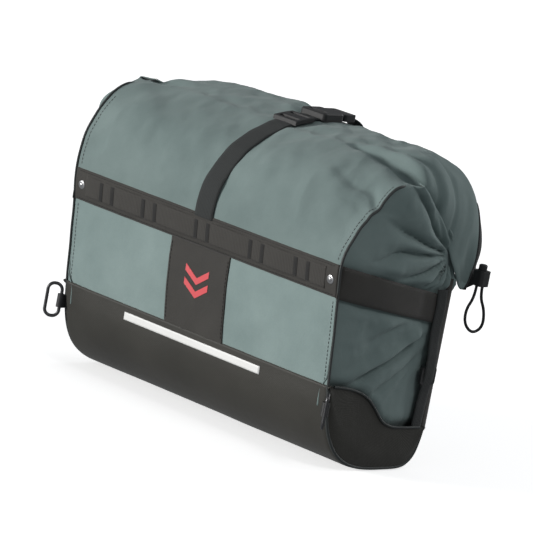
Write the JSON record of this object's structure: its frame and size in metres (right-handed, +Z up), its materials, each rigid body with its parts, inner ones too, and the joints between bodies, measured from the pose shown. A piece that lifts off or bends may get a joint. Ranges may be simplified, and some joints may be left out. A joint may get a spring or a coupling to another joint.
{
  "type": "motorcycle saddlebag",
  "caption": "Soft motorcycle saddlebag with a stiff black hull, grey fabric walls, a fold-open hood held by a buckled strap, and a quick-release plate on its back.",
  "frame": {"origin": "middle of the flat underside of the hull", "axes": "+X along the bag towards the front of the bike, +Y inward to the bike, +Z up"},
  "size_m": [0.4905, 0.2476, 0.3695],
  "materials": {
    "hull": "matt coated tarpaulin",
    "grey_fabric": "coated grey-green nylon",
    "black_fabric": "coated black nylon",
    "webbing": "woven black webbing",
    "piping": "black piping",
    "cord": "braided elastic cord",
    "badge_red": "printed red",
    "reflective_white": "retroreflective film",
    "black_plastic": "moulded acetal",
    "board": "stiff sheet",
    "ring_metal": "satin",
    "steel": "zinc plated",
    "plate_aluminium": "black powder coat"
  },
  "bodies": {
    "bag": {"hull_shell": "hull", "hull_cap_front": "hull", "hull_cap_rear": "hull", "outer_panel": "grey_fabric", "front_gusset": "grey_fabric", "rear_gusset": "grey_fabric", "inner_collar": "grey_fabric", "back_panel": "hull", "back_stiffener": "board", "base_stiffener": "board", "centre_patch": "black_fabric", "lash_band": "black_fabric", "gusset_band_front": "black_fabric", "gusset_band_rear": "black_fabric", "badge": "badge_red", "reflective_stripe": "reflective_white", "lash_webbing": "webbing", "bar_tacks": "webbing", "strap_lower": "webbing", "end_strap_front": "webbing", "end_strap_rear": "webbing", "piping_front": "piping", "piping_rear": "piping", "band_rivets": "steel", "end_slide_front": "black_plastic", "end_slide_rear": "black_plastic", "ring_keeper_front": "black_plastic", "ring_keeper_rear": "black_plastic", "strap_anchor": "black_plastic", "strap_anchor_pin": "steel", "adapter_plate": "plate_aluminium", "plate_screws": "steel", "plate_washers": "steel", "plate_nuts": "steel", "tube_hook_front": "black_plastic", "tube_hook_rear": "black_plastic", "latch_base": "black_plastic"},
    "hood": {"hood": "grey_fabric", "hood_hem": "black_fabric", "strap_upper": "webbing", "strap_adjuster": "black_plastic", "buckle_socket": "black_plastic", "cord_lock_barrel": "black_plastic", "cord_lock_spring": "steel", "drawcord_loop": "cord"},
    "tie_strap": {"inner_strap": "webbing", "buckle_plug": "black_plastic"},
    "lock_button": {"cord_lock_button": "black_plastic"},
    "front_ring": {"corner_ring_front": "ring_metal"},
    "rear_ring": {"corner_ring_rear": "ring_metal"},
    "latch": {"latch_lever": "black_plastic", "latch_shaft": "steel"}
  },
  "joints": [
    {"name": "hood_fold", "type": "hinge", "parent": "bag", "child": "hood", "pos_m": [0, -0.032, 0.34766], "axis": [1, 0, 0], "range_deg": [0, 105]},
    {"name": "strap_pivot", "type": "hinge", "parent": "bag", "child": "tie_strap", "pos_m": [0, 0.119, 0.277], "axis": [1, 0, 0], "range_deg": [-210, 0]},
    {"name": "button_press", "type": "slide", "parent": "hood", "child": "lock_button", "axis": [0, 0, -1], "range_m": [0, 0.004], "stiffness_N_per_m": 400, "springref_m": -0.003, "deforming": ["cord_lock_spring"]},
    {"name": "front_ring_turn", "type": "hinge", "parent": "bag", "child": "front_ring", "pos_m": [0.2295, -0.105, 0.076], "axis": [0, 0, 1], "range_deg": [-35, 35]},
    {"name": "rear_ring_turn", "type": "hinge", "parent": "bag", "child": "rear_ring", "pos_m": [-0.2295, -0.105, 0.076], "axis": [0, 0, 1], "range_deg": [-35, 35]},
    {"name": "latch_turn", "type": "hinge", "parent": "bag", "child": "latch", "pos_m": [0, 0.086, 0.1], "axis": [0, 1, 0], "range_deg": [-90, 0]}
  ],
  "couplings": [
    {"joint": "strap_pivot", "follows": "hood_fold", "ratio": -2}
  ]
}
